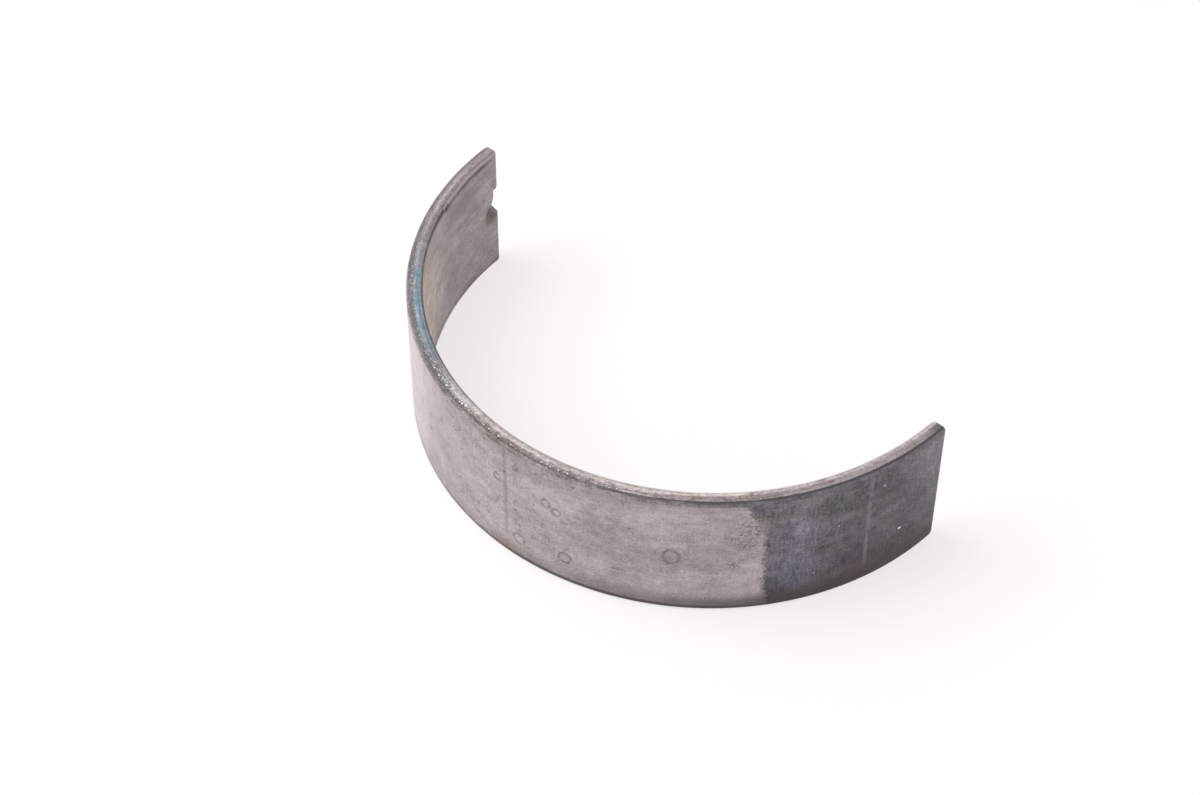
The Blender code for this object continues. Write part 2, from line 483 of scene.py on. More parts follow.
def make_mottle():
    """Soft cloudy stains, more or less stretched along the strip."""
    inputs = {"Place": NOWHERE, "Size": 2.0, "Stretch": 1.0, "Low": 0.4, "High": 0.6, "Seed": 0.0}
    w, given, result = new_group("mottle", inputs, ["Mask"])
    along, up, deep = w.parts(given["Place"])
    stretched = w.vector(w.math("DIVIDE", along, given["Stretch"]), up, w.plus(deep, given["Seed"]))
    cloud = w.noise(stretched, w.math("DIVIDE", 1.0, given["Size"]), 5.0, 0.6)
    w.put(result["Mask"], w.range(cloud, given["Low"], given["High"]))


def make_tone():
    """Lighter and darker metal about 1: clouds, blotches, specks, grain, streaks and hatching."""
    inputs = {
        "Place": NOWHERE,
        "Clouds": 0.3,
        "Blotches": 0.5,
        "Specks": 0.4,
        "Grain": 0.3,
        "Streaks": 0.3,
        "Hatching": 0.2,
        "Seed": 0.0,
    }
    w, given, result = new_group("tone", inputs, ["Tone"])
    along, up, deep = w.parts(given["Place"])
    place = w.vector(along, up, w.plus(deep, given["Seed"]))
    tone = 1.0
    layers = (
        ("Clouds", (0.24, 0.4, 0.4), 2.0),
        ("Blotches", (0.95, 1.3, 1.0), 2.0),
        ("Specks", (3.6, 4.4, 4.0), 1.0),
        ("Grain", (9.0, 10.0, 10.0), 1.0),
        ("Streaks", (0.25, 3.2, 3.2), 3.0),
        ("Hatching", (5.0, 0.7, 2.0), 2.0),
    )
    for label, scales, detail in layers:
        swing = w.minus(w.noise(w.scaled(place, scales), 1.0, detail, 0.6), 0.5)
        tone = w.plus(tone, w.times(swing, given[label], 2.0))
    w.put(result["Tone"], w.most(tone, 0.05))


def make_patch():
    """A soft uneven spot or patch about a middle, with its own reach each way."""
    inputs = {"Place": NOWHERE, "Middle": NOWHERE, "Reach": (1.0, 1.0, 1.0), "Softness": 0.5}
    w, given, result = new_group("patch", inputs, ["Mask"])
    offset = w.nodes.new("ShaderNodeVectorMath")
    offset.operation = "SUBTRACT"
    w.put(offset.inputs[0], given["Place"])
    w.put(offset.inputs[1], given["Middle"])
    scaled = w.nodes.new("ShaderNodeVectorMath")
    scaled.operation = "DIVIDE"
    w.put(scaled.inputs[0], offset.outputs[0])
    w.put(scaled.inputs[1], given["Reach"])
    length = w.nodes.new("ShaderNodeVectorMath")
    length.operation = "LENGTH"
    w.put(length.inputs[0], scaled.outputs[0])
    wobble = w.times(w.minus(w.noise(scaled.outputs[0], 1.3, 3.0, 0.6), 0.5), 1.1)
    distance = w.plus(length.outputs["Value"], wobble)
    outer = w.plus(1.0, given["Softness"])
    inner = w.minus(1.0, given["Softness"])
    w.put(result["Mask"], w.range(distance, outer, inner))


def make_drying_ring():
    """The line that a drop leaves where it dries."""
    inputs = {"Place": NOWHERE, "Middle": NOWHERE, "Radius": 0.5, "Tallness": 1.0, "Line": 0.2}
    w, given, result = new_group("drying_ring", inputs, ["Line"])
    along, up, _ = w.parts(given["Place"])
    middle_along, middle_up, _ = w.parts(given["Middle"])
    x = w.minus(along, middle_along)
    y = w.math("DIVIDE", w.minus(up, middle_up), given["Tallness"])
    distance = w.math("SQRT", w.plus(w.times(x, x), w.times(y, y)))
    wobble = w.times(w.minus(w.noise(given["Place"], 1.3, 1.0), 0.5), 0.5)
    distance = w.plus(distance, w.times(wobble, given["Radius"]))
    off_line = w.math("ABSOLUTE", w.minus(distance, given["Radius"]))
    line = w.range(off_line, given["Line"], 0.02)
    patchy = w.range(w.noise(given["Place"], 2.1, 2.0), 0.35, 0.55, 0.35, 1.0)
    w.put(result["Line"], w.times(line, patchy))


def make_squiggles():
    """Thin wandering marks in scattered patches."""
    inputs = {"Place": NOWHERE, "Size": 0.5, "Share": 0.5, "Seed": 0.0}
    w, given, result = new_group("squiggles", inputs, ["Mask"])
    along, up, deep = w.parts(given["Place"])
    place = w.vector(along, up, w.plus(deep, given["Seed"]))
    waves = w.noise(place, w.math("DIVIDE", 1.0, given["Size"]), 2.0, 0.5)
    line = w.range(w.math("ABSOLUTE", w.minus(waves, 0.5)), 0.055, 0.01)
    low = w.range(given["Share"], 0.0, 1.0, 0.75, 0.35, smooth=False)
    patches = w.range(w.noise(place, 0.75, 2.0, 0.6), low, w.plus(low, 0.12))
    broken = w.range(w.noise(place, 2.8, 1.0), 0.42, 0.55)
    w.put(result["Mask"], w.times(line, patches, broken))


def make_band():
    """A stripe about a middle value, with soft sides."""
    inputs = {"Value": 0.0, "Middle": 0.0, "Half Width": 0.2, "Softness": 0.1}
    w, given, result = new_group("band", inputs, ["Mask"])
    off = w.math("ABSOLUTE", w.minus(given["Value"], given["Middle"]))
    outer = w.plus(given["Half Width"], given["Softness"])
    w.put(result["Mask"], w.range(off, outer, given["Half Width"]))


def make_dark_patina():
    """The oil-darkened end of the strip, from a ragged line on, with half-dark stains beside it."""
    w, given, result = new_group("dark_patina", {"Place": NOWHERE}, ["Mask", "Blue"])
    place = given["Place"]
    along, up, _ = w.parts(place)
    lean = w.range(up, 9.0, 13.4, 0.0, -1.6, smooth=False)
    foot = w.range(up, 2.5, 0.5, 0.0, 0.4, smooth=False)
    start = w.plus(w.plus(OIL_START, lean), foot)
    coarse = w.times(w.minus(w.noise(place, 0.9, 2.0, 0.6), 0.5), 0.9)
    fine = w.times(w.minus(w.noise(w.scaled(place, (1.0, 0.55, 1.0)), 5.5, 3.0, 0.7), 0.5), 1.7)
    edge = w.minus(w.plus(along, w.plus(coarse, fine)), start)
    pale = w.spot(place, (23.5, 9.8, 0.0), (0.6, 1.6, THROUGH))
    mask = w.times(w.range(edge, -0.25, 0.35), w.minus(1.0, w.times(pale, 0.4)))
    stains = w.range(w.noise(place, 2.6, 3.0, 0.65), 0.54, 0.61)
    above = w.spot(place, (22.2, 10.4, 0.0), (1.2, 3.0, THROUGH))
    below = w.spot(place, (21.3, 6.1, 0.0), (0.7, 0.5, THROUGH))
    w.put(result["Mask"], w.most(mask, w.times(stains, w.most(above, below), 0.6)))
    upper = w.spot(place, (26.9, 8.7, 0.0), (0.9, 2.0, THROUGH), softness=0.8)
    lower = w.spot(place, (26.4, 4.9, 0.0), (1.7, 2.5, THROUGH), softness=0.8)
    w.put(result["Blue"], w.most(upper, w.times(lower, 0.8)))


def make_battered():
    """Struck metal along the upper outer edge: dark streaks, bright torn specks, rust, a crease."""
    masks = ["Dark", "Bright", "Rust", "Crease"]
    w, given, result = new_group("battered", {"Place": NOWHERE}, masks)
    place = given["Place"]
    along, up, deep = w.parts(place)
    upper = w.range(up, WIDTH - 0.4, WIDTH - 0.15)
    struck = w.stretch(along, -27.5, -23.5, -7.0, -2.0)
    flecked = w.stripe(along, -10.2, half_width=1.8, softness=1.2)
    inner_end = w.plus(0.66, w.times(flecked, 0.3))
    inner_side = w.range(deep, w.plus(inner_end, 0.1), w.minus(inner_end, 0.1))
    zone = w.times(inner_side, w.range(deep, 0.1, 0.22))
    streaks = w.noise(w.scaled(place, (1.7, 6.5, 6.5)), 1.0, 3.0, 0.75)
    w.put(result["Dark"], w.times(upper, struck, zone, w.range(streaks, 0.45, 0.55)))

    torn = w.stretch(along, -12.5, -8.5, -6.0, -3.0)
    rare = w.minus(w.range(along, -12.0, -3.0, 0.59, 0.57), w.times(torn, 0.05))
    speckle = w.noise(w.scaled(place, (3.4, 6.5, 6.5)), 1.0, 1.0, 0.6)
    specks = w.range(speckle, rare, w.plus(rare, 0.08))
    crown = w.stretch(along, -28.0, -24.0, 10.5, 14.0)
    spread = w.times(torn, 0.26)
    off_row = w.math("ABSOLUTE", w.minus(deep, w.plus(0.53, w.times(spread, 0.6))))
    row = w.range(off_row, w.plus(0.14, spread), 0.05)
    streak = w.spot(place, (12.7, WIDTH, 0.52), (1.3, THROUGH, 0.09))
    streak = w.times(streak, w.range(streaks, 0.4, 0.55))
    w.put(result["Bright"], w.most(w.times(upper, crown, row, specks), w.times(streak, 0.45)))

    rusty = w.stripe(along, 0.0, half_width=1.2, softness=2.2)
    rusty = w.times(rusty, w.range(deep, 0.95, 0.6), w.range(w.noise(place, 2.2, 3.0), 0.42, 0.58))
    w.put(result["Rust"], w.times(rusty, w.range(up, WIDTH - 0.7, WIDTH - 0.25)))

    oily = w.range(along, 20.0, 24.0)
    uneven_line = w.times(w.minus(w.noise(place, 1.4, 2.0), 0.5), w.minus(1.0, oily), 0.35)
    line_depth = w.range(along, 8.0, 16.0, 0.25, 0.31)
    off = w.math("ABSOLUTE", w.minus(deep, w.plus(line_depth, uneven_line)))
    crease = w.range(off, w.range(along, 11.0, 15.0, 0.17, 0.2), 0.03)
    oiled_crease = w.range(off, w.range(along, 28.0, 40.0, 0.12, 0.19), 0.05)
    crease = w.most(crease, w.times(oiled_crease, oily))
    patchy = w.range(w.noise(w.scaled(place, (0.8, 2.0, 2.0)), 1.0, 3.0), 0.32, 0.52, 0.35, 1.0)
    strength = w.times(w.range(along, 0.0, 12.0, 0.34, 0.9), w.most(patchy, oily))
    toward_lug = w.range(along, -18.0, -12.0, 0.75, 1.0)
    strength = w.times(strength, toward_lug, w.range(along, -40.0, -34.0, 0.2, 1.0))
    w.put(result["Crease"], w.times(upper, crease, strength))


for make in (
    make_mottle,
    make_tone,
    make_patch,
    make_drying_ring,
    make_squiggles,
    make_band,
    make_dark_patina,
    make_battered,
):
    make()


def new_material(name, metallic):
    """A material with its wiring and its shader."""
    material = bpy.data.materials.new(name)
    material.use_nodes = True
    shader = material.node_tree.nodes["Principled BSDF"]
    shader.inputs["Metallic"].default_value = metallic
    return material, Wiring(material.node_tree), shader


# Colours of the bare back

BARE_BACK = (0.423, 0.351, 0.352, 1)
BARE_BACK_GREENISH = (0.389, 0.334, 0.336, 1)
DRIED_LINE = (0.105, 0.085, 0.086, 1)
RUB_LINE = (0.2, 0.175, 0.18, 1)
DARK_SPOT = (0.07, 0.055, 0.055, 1)
BRIGHT_SPOT = (0.85, 0.82, 0.82, 1)
FOOT_SHADE = (0.05, 0.038, 0.04, 1)
FOOT_RUST = (0.26, 0.16, 0.09, 1)
SHADE_UNDER_EDGE = (0.1, 0.088, 0.095, 1)
BACK_RUST = (0.22, 0.155, 0.13, 1)

# Colours of the oiled stretch of the back

OILED_BACK = (0.122, 0.117, 0.121, 1)
OILED_BACK_PURPLE = (0.141, 0.114, 0.14, 1)
SCUFF = (0.05, 0.045, 0.048, 1)
LILAC_LOW = (0.18, 0.172, 0.24, 1)
LILAC_HIGH = (0.235, 0.208, 0.265, 1)
PALE_RUB_LINE = (0.21, 0.205, 0.21, 1)
RED_FOOT = (0.14, 0.07, 0.075, 1)
DARK_DAB = (0.06, 0.052, 0.056, 1)

# Colours of the upper side face

SIDE_FACE = (0.34, 0.292, 0.292, 1)
BROWN_FLECK = (0.18, 0.125, 0.12, 1)
BLUE_OUTER = (0.235, 0.275, 0.325, 1)
BLUE_INNER = (0.153, 0.228, 0.29, 1)
TORN_DARK = (0.16, 0.165, 0.162, 1)
TORN_BRIGHT = (0.66, 0.66, 0.645, 1)
SIDE_STREAK = (0.1, 0.105, 0.115, 1)
SIDE_RUST = (0.165, 0.12, 0.1, 1)
SIDE_SPECK = (0.82, 0.8, 0.79, 1)
SIDE_CREASE = (0.07, 0.06, 0.064, 1)
SIDE_OILED_END = (0.085, 0.085, 0.085, 1)
SIDE_RED_RUST = (0.2, 0.07, 0.062, 1)

# Colours of the rounded outer edges

ROUNDED_EDGE = (0.4, 0.345, 0.346, 1)
ROUNDED_EDGE_OILED = (0.135, 0.126, 0.138, 1)
EDGE_STREAK = (0.1, 0.105, 0.108, 1)
EDGE_RUST = (0.19, 0.13, 0.108, 1)
EDGE_SPECK = (0.75, 0.73, 0.73, 1)
EDGE_CREASE = (0.045, 0.038, 0.042, 1)
EDGE_FOOT_SHADE = (0.06, 0.05, 0.053, 1)

# Colours of the bore

LINING = (0.325, 0.278, 0.288, 1)
LINING_OLIVE = (0.25, 0.225, 0.205, 1)
LINING_STAIN = (0.22, 0.19, 0.172, 1)
LINING_TAN = (0.46, 0.355, 0.27, 1)
LINING_CREASE_DIRT_AND_SHADE = (0.08, 0.063, 0.07, 1)
LIP_BRIGHT = (0.62, 0.57, 0.57, 1)
LIP_DULL = (0.37, 0.32, 0.325, 1)
LINING_TORN = (0.07, 0.06, 0.066, 1)
NICK_BOTTOM = (0.055, 0.05, 0.053, 1)
NICK_BURR = (0.7, 0.68, 0.7, 1)
LINING_FOOT_SHADE = (0.13, 0.11, 0.112, 1)
HOLLOW_DIRT_AND_SHADE = (0.12, 0.085, 0.07, 1)

# Colours of the parting faces

END_DARK_STROKE = (0.26, 0.225, 0.225, 1)
END_LIGHT_STROKE = (0.38, 0.33, 0.325, 1)
END_RUST = (0.22, 0.13, 0.1, 1)

# Colours of the floor and the studio

FLOOR_COLOUR = (0.87, 0.945, 0.93, 1)
FLOOR_GLOW = (1.0, 0.943, 0.96, 1)
STUDIO_LIGHT = (1.0, 0.95, 0.965, 1)
WHITE = (1, 1, 1, 1)

# Drops that dried on the back: along, up, radius, tallness, strength of the line

DRIED_DROPS = (
    (4.67, 9.3, 0.43, 1.05, 0.9),
    (5.67, 8.7, 0.41, 1.0, 0.85),
    (6.45, 3.22, 0.57, 1.12, 1.0),
    (1.7, 2.75, 0.6, 1.0, 0.75),
    (15.97, 6.85, 0.68, 1.25, 0.85),
    (-0.6, 9.2, 0.34, 1.05, 0.6),
    (1.5, 11.7, 0.26, 1.0, 0.75),
    (4.7, 12.7, 0.36, 0.9, 0.5),
    (1.5, 7.15, 0.22, 1.1, 0.6),
    (12.05, 5.7, 0.42, 1.1, 0.3),
    (9.2, 11.3, 0.3, 1.0, 0.35),
    (-1.0, 6.2, 0.36, 1.0, 0.45),
    (-4.6, 4.3, 0.3, 1.2, 0.35),
)

RING_LINE = 0.22
RING_STRENGTH = 0.75

# Small spots on the back: along, up, half length, half height, strength

DARK_SPOTS = (
    (7.3, 12.78, 0.13, 0.1, 0.9),
    (1.38, 6.3, 0.22, 0.09, 0.7),
    (12.3, 9.7, 0.13, 0.07, 0.8),
    (3.25, 3.85, 0.2, 0.14, 0.45),
    (4.5, 4.9, 0.7, 0.22, 0.22),
    (11.4, 4.0, 0.9, 0.12, 0.25),
    (17.8, 8.9, 0.08, 0.06, 0.7),
    (-3.2, 3.6, 0.2, 0.14, 0.45),
    (-4.7, 2.6, 0.5, 0.3, 0.2),
    (6.5, 7.8, 0.3, 0.2, 0.3),
)

BRIGHT_SPOTS = (
    (16.9, 5.15, 0.09, 0.09, 0.7),
    (34.65, 11.5, 0.14, 0.1, 0.45),
    (36.95, 4.5, 0.16, 0.12, 1.0),
    (28.4, 3.3, 0.1, 0.08, 0.3),
    (30.4, 8.6, 0.12, 0.1, 0.3),
)

# Wide patches of the bare back, less or more bright: uneven tone, and painted light in the broad
# first patch toward the lug end. Along, up, half length, half height, factor

WIDE_TONE_AND_LIGHT_PATCHES = (
    (-17.5, 6.5, 6.0, 12.0, 1.34),
    (-14.0, 10.6, 4.5, 2.2, 1.13),
    (-1.5, 5.0, 2.2, 4.0, 1.09),
    (9.5, 6.8, 7.0, 2.2, 0.9),
    (16.5, 6.2, 4.5, 1.6, 0.9),
    (8.6, 9.8, 0.9, 1.0, 0.88),
    (4.0, 9.4, 2.8, 1.5, 1.14),
    (3.0, 12.2, 3.4, 0.7, 0.9),
    (10.5, 12.4, 2.2, 1.1, 0.86),
    (11.0, 2.4, 3.4, 1.5, 0.88),
    (20.0, 8.0, 1.9, 2.2, 0.86),
    (18.0, 12.0, 3.0, 1.0, 1.07),
)


def back_steel():
    """Bare steel back: rolled grain, dried drops, and oil-dark near the plain end."""
    material, w, shader = new_material("back_steel", metallic=0.55)
    place = w.place()
    along, up, _ = w.parts(place)
    tone = w.group(
        "tone",
        place=place,
        clouds=0.4,
        blotches=0.27,
        specks=0.3,
        grain=0.5,
        streaks=0.16,
        hatching=0.16,
    )["Tone"]
    calm = w.range(along, -3.0, -12.0, 1.0, 0.6)
    tone = w.plus(1.0, w.times(w.minus(tone, 1.0), calm))
    # Uneven tone of the steel, and painted light on the stretch toward the lug end
    for patch_along, patch_up, half_length, half_height, factor in WIDE_TONE_AND_LIGHT_PATCHES:
        reach = (half_length, half_height, THROUGH)
        patch = w.spot(place, (patch_along, patch_up, 0.0), reach, softness=0.6)
        tone = w.times(tone, w.range(patch, 0.0, 1.0, 1.0, factor, smooth=False))
    greenish = w.group(
        "mottle", place=place, size=2.6, stretch=1.6, low=0.3, high=0.7, seed=4.0
    )["Mask"]
    colour = w.mix(greenish, BARE_BACK, BARE_BACK_GREENISH)
    marks = w.group("squiggles", place=place, size=0.5, share=0.5)["Mask"]
    marks = w.times(marks, w.range(along, -1.0, 10.0, 0.8, 0.16), w.range(along, -14.0, -9.0))
    colour = w.toned(colour, w.times(tone, w.minus(1.0, marks)))
    for drop_along, drop_up, radius, tallness, strength in DRIED_DROPS:
        ring = w.group(
            "drying_ring",
            place=place,
            middle=(drop_along, drop_up, 0.0),
            radius=radius,
            tallness=tallness,
            line=RING_LINE,
        )["Line"]
        colour = w.stain(colour, ring, DRIED_LINE, strength * RING_STRENGTH)
    witness = w.stripe(along, DARK_RUB_ALONG, half_width=0.08, softness=0.28)
    stronger_above = w.range(up, 1.6, 4.0, 0.2, 0.52)
    patchy = w.range(w.noise(place, 1.1, 2.0), 0.35, 0.6, 0.65, 1.1)
    witness = w.times(witness, stronger_above, patchy)
    colour = w.mix(witness, colour, RUB_LINE)

    patina = w.group("dark_patina", place=place)
    dark_tone = w.group(
        "tone",
        place=place,
        clouds=0.85,
        blotches=0.5,
        specks=0.5,
        grain=1.1,
        streaks=0.1,
        hatching=0.65,
        seed=9.0,
    )["Tone"]
    purple = w.group("mottle", place=place, size=3.4, low=0.42, high=0.58, seed=31.0)["Mask"]
    dark = w.mix(purple, OILED_BACK, OILED_BACK_PURPLE)
    darker = w.range(along, 28.5, 33.0, 1.0, 0.78)
    darker = w.times(darker, w.range(along, 37.0, 40.5, 1.0, 1.2))
    # The oiled steel is darker toward the bottom and lighter toward the top: partly its own tone,
    # partly painted shade
    dark = w.toned(dark, w.times(dark_tone, darker, w.range(up, 0.8, 11.5, 0.74, 1.18)))
    across = w.times(w.plus(along, w.times(up, 1.2)), 3.6)
    slanted = w.vector(across, w.times(w.minus(up, along), 0.25))
    scratches = w.range(w.noise(slanted, 1.0, 3.0, 0.7), 0.35, 0.65, 0.84, 1.16, smooth=False)
    scratches = w.plus(1.0, w.times(w.minus(scratches, 1.0), w.range(along, 32.0, 35.0)))
    dark = w.toned(dark, scratches)
    scuffs = w.group("squiggles", place=place, size=0.7, share=0.75, seed=5.0)["Mask"]
    scuffs = w.times(scuffs, w.stripe(along, 31.0, half_width=3.5, softness=2.5))
    dark = w.stain(dark, scuffs, SCUFF, strength=0.5)
    lilac = w.mix(w.range(up, 5.5, 8.0), LILAC_LOW, LILAC_HIGH)
    dark = w.mix(w.times(patina["Blue"], 0.8), dark, w.toned(lilac, dark_tone))
    rub = w.stripe(along, PALE_RUB_ALONG, half_width=0.08, softness=0.24)
    broken = w.range(w.noise(place, 0.7, 2.0), 0.4, 0.56, 0.12, 0.6)
    rub = w.times(rub, broken, w.range(up, 0.8, 4.0, 0.15, 1.0))
    dark = w.mix(rub, dark, PALE_RUB_LINE)
    red_foot = w.spot(place, (32.3, 1.7, 0.0), (0.7, 1.2, THROUGH))
    dark = w.stain(dark, red_foot, RED_FOOT, strength=0.5)
    colour = w.mix(patina["Mask"], colour, dark)
    dabs = w.group("squiggles", place=place, size=0.55, share=0.95, seed=7.0)["Mask"]
    high_dabs = w.spot(place, (22.3, 10.5, 0.0), (1.1, 3.0, THROUGH))
    low_dabs = w.spot(place, (21.3, 6.1, 0.0), (0.8, 0.8, THROUGH))
    dabs = w.times(dabs, w.most(high_dabs, low_dabs), 0.75)
    colour = w.mix(dabs, colour, DARK_DAB)

    for spots, paint in ((DARK_SPOTS, DARK_SPOT), (BRIGHT_SPOTS, BRIGHT_SPOT)):
        for spot_along, spot_up, half_length, half_height, strength in spots:
            reach = (half_length, half_height, THROUGH)
            spot = w.spot(place, (spot_along, spot_up, 0.0), reach)
            colour = w.stain(colour, spot, paint, strength)
    low_line = w.range(up, 0.95, 0.5, 0.0, 0.92)
    low_share = w.range(along, 6.0, 26.0, 0.34, 0.86, smooth=False)
    low_shade = w.times(w.range(up, w.range(along, 22.0, 26.0, 2.6, 2.9), 0.8), low_share)
    foot = w.times(w.most(low_line, low_shade), w.range(along, -12.0, 6.0, 0.5, 1.0))
    colour = w.mix(foot, colour, FOOT_SHADE)
    foot_rust = w.spot(place, (0.4, 1.0, 0.0), (0.9, 0.35, THROUGH))
    colour = w.stain(colour, foot_rust, FOOT_RUST, strength=0.5)
    under_edge = w.times(
        w.range(up, 12.3, 13.25), w.range(along, -10.0, -4.0), w.range(along, 25.0, 23.0)
    )
    colour = w.stain(colour, under_edge, SHADE_UNDER_EDGE, strength=0.2)
    battered = w.group("battered", place=place)
    colour = w.stain(colour, battered["Rust"], BACK_RUST, strength=0.4)

    w.put(shader.inputs["Base Color"], colour)
    roughness = w.range(tone, 0.7, 1.3, 0.47, 0.36)
    w.put(shader.inputs["Roughness"], w.plus(roughness, w.times(patina["Mask"], 0.04)))
    w.put(shader.inputs["Normal"], w.bump(tone, distance=0.015 * MM))
    return material


def side_steel():
    """Sheared side face: pale and flecked brown, with a blue oil tint and a battered outer edge."""
    material, w, shader = new_material("side_steel", metallic=0.6)
    place = w.place()
    along, _, deep = w.parts(place)
    tone = w.group(
        "tone",
        place=place,
        clouds=0.2,
        blotches=0.4,
        specks=0.4,
        grain=0.6,
        streaks=0.2,
        hatching=0.1,
        seed=2.0,
    )["Tone"]
    lines = w.noise(w.vector(w.times(along, 0.08), 0.0, w.times(deep, 5.0)), 1.0, 2.0, 0.6)
    tone = w.plus(tone, w.times(w.minus(lines, 0.5), w.range(along, 26.0, 34.0, 1.3, 0.6)))
    left = w.range(along, -4.0, -18.0)
    right = w.range(along, 12.0, 18.0)
    crown = w.minus(w.minus(1.0, left), right)
    middle = w.plus(0.97, w.minus(w.times(right, 0.23), w.times(left, 0.24)))
    off = w.minus(deep, middle)
    pale = w.times(w.range(w.math("ABSOLUTE", off), 0.24, 0.03), 0.27)
    inner = w.times(w.range(off, 0.1, 0.38), w.plus(0.09, w.times(left, 0.17)))
    worn = w.plus(0.22, w.plus(w.times(left, 0.02), w.times(crown, 0.2)))
    outer = w.times(w.range(off, -0.12, -0.36), worn)
    profile = w.minus(w.plus(1.0, pale), w.plus(inner, outer))
    level = w.times(w.range(along, -13.0, -5.0, 0.98, 1.3), w.range(along, 0.0, 26.0, 1.0, 0.86))
    level = w.times(level, w.range(along, -38.5, -36.5, 0.87, 1.0))
    # A lighter patch on the side face, toward the plain end
    lighter_patch = w.spot(place, (20.7, WIDTH, 1.1), (1.3, THROUGH, 0.3))
    level = w.plus(level, w.times(lighter_patch, 0.24))
    colour = w.toned(SIDE_FACE, w.times(tone, level, profile))
    flecks = w.noise(w.scaled(place, (1.7, 4.0, 4.0)), 1.0, 2.0, 0.6)
    near_edge = w.range(deep, 1.02, 0.75)
    many = w.stretch(along, -12.0, -3.0, 20.0, 30.0)
    share = w.plus(0.3, w.times(near_edge, many, 0.5))
    fleck = w.times(w.range(flecks, 0.5, 0.58), share)
    colour = w.mix(fleck, colour, BROWN_FLECK)

    strong = w.times(w.range(along, -24.6, -23.2), w.range(along, -12.0, -13.2, 0.4, 1.0))
    faint = w.times(w.range(along, -30.0, -27.0), 0.4)
    weak = w.most(faint, w.times(w.range(along, -25.9, -25.2), 0.72))
    strong = w.most(strong, w.times(weak, w.range(along, -22.5, -23.5)))
    tint = w.times(strong, w.range(along, -4.5, -8.0))
    breaks = w.range(w.noise(w.scaled(place, (0.5, 0.9, 0.9)), 1.0, 2.0), 0.38, 0.54, 0.6, 1.0)
    blue = w.mix(w.range(deep, 0.7, 1.05), BLUE_OUTER, BLUE_INNER)
    tinted = w.times(tint, breaks)
    blue = w.toned(blue, w.times(tone, w.range(deep, 0.7, 0.5, 1.0, 0.8)))
    colour = w.mix(tinted, colour, blue)

    torn = w.spot(place, (-6.9, WIDTH, 0.74), (1.9, THROUGH, 0.26))
    strands = w.range(w.noise(w.scaled(place, (1.2, 8.0, 8.0)), 1.0, 3.0, 0.75), 0.38, 0.6)
    torn_colour = w.mix(strands, TORN_DARK, TORN_BRIGHT)
    colour = w.mix(w.times(torn, 0.5), colour, torn_colour)
    battered = w.group("battered", place=place)
    colour = w.stain(colour, battered["Dark"], SIDE_STREAK, strength=0.85)
    colour = w.stain(colour, battered["Rust"], SIDE_RUST, strength=0.75)
    colour = w.stain(colour, battered["Bright"], SIDE_SPECK, strength=0.85)
    colour = w.stain(colour, battered["Crease"], SIDE_CREASE, strength=0.85)
    dark_end = w.times(w.range(along, 39.6, 41.2), w.range(deep, 1.05, 0.75, 0.0, 0.75))
    colour = w.mix(dark_end, colour, SIDE_OILED_END)
    red = w.spot(place, (29.7, WIDTH, 0.82), (0.36, THROUGH, 0.13))
    colour = w.stain(colour, red, SIDE_RED_RUST, strength=0.8)
    w.put(shader.inputs["Base Color"], colour)
    w.put(shader.inputs["Roughness"], w.range(fleck, 0.0, 1.0, 0.4, 0.55))
    height = w.plus(tone, w.times(battered["Bright"], 1.5))
    w.put(shader.inputs["Normal"], w.bump(height, distance=0.02 * MM))
    return material


def edge_steel():
    """Rounded outer edges: like the back beside them, with a dark crease and struck metal."""
    material, w, shader = new_material("edge_steel", metallic=0.55)
    place = w.place()
    along, up, deep = w.parts(place)
    tone = w.group(
        "tone",
        place=place,
        clouds=0.36,
        blotches=0.5,
        specks=0.5,
        grain=0.5,
        streaks=0.34,
        hatching=0.12,
    )["Tone"]
    patina = w.group("dark_patina", place=place)["Mask"]
    upper = w.range(up, WIDTH / 2, WIDTH / 2 + 0.1)
    # Painted shade: the upper rounding darkens as it turns from the back toward the side face, and
    # toward the oiled end it is darker still. Painted light: the rounding is lighter toward the lug
    # end, like the back there
    turned_light_and_shade = w.range(deep, 0.0, 0.17, 0.68, 0.35)
    near_oil = w.range(along, 14.0, 20.0, 1.0, 0.72)
    turned_light_and_shade = w.times(turned_light_and_shade, near_oil, w.range(along, -12.0, -17.0, 1.0, 1.3))
    level = w.times(w.range(along, -10.0, -16.0, 1.0, 1.2), w.range(upper, 0.0, 1.0, 1.0, turned_light_and_shade))
    colour = w.toned(ROUNDED_EDGE, w.times(tone, level))
    colour = w.mix(patina, colour, w.toned(ROUNDED_EDGE_OILED, tone))
    battered = w.group("battered", place=place)
    colour = w.stain(colour, battered["Dark"], EDGE_STREAK, strength=0.6)
    colour = w.stain(colour, battered["Rust"], EDGE_RUST, strength=0.5)
    colour = w.stain(colour, battered["Bright"], EDGE_SPECK, strength=0.8)
    colour = w.stain(colour, battered["Crease"], EDGE_CREASE, strength=0.9)
    # Painted shade on the lower rounded edge, where the shell stands on the floor
    foot = w.times(w.minus(1.0, upper), w.range(along, -12.0, 6.0, 0.5, 0.85))
    colour = w.mix(foot, colour, EDGE_FOOT_SHADE)
    w.put(shader.inputs["Base Color"], colour)
    w.put(shader.inputs["Roughness"], w.range(tone, 0.8, 1.2, 0.55, 0.42))
    height = w.plus(tone, w.times(battered["Bright"], 1.5))
    w.put(shader.inputs["Normal"], w.bump(height, distance=0.02 * MM))
    return material


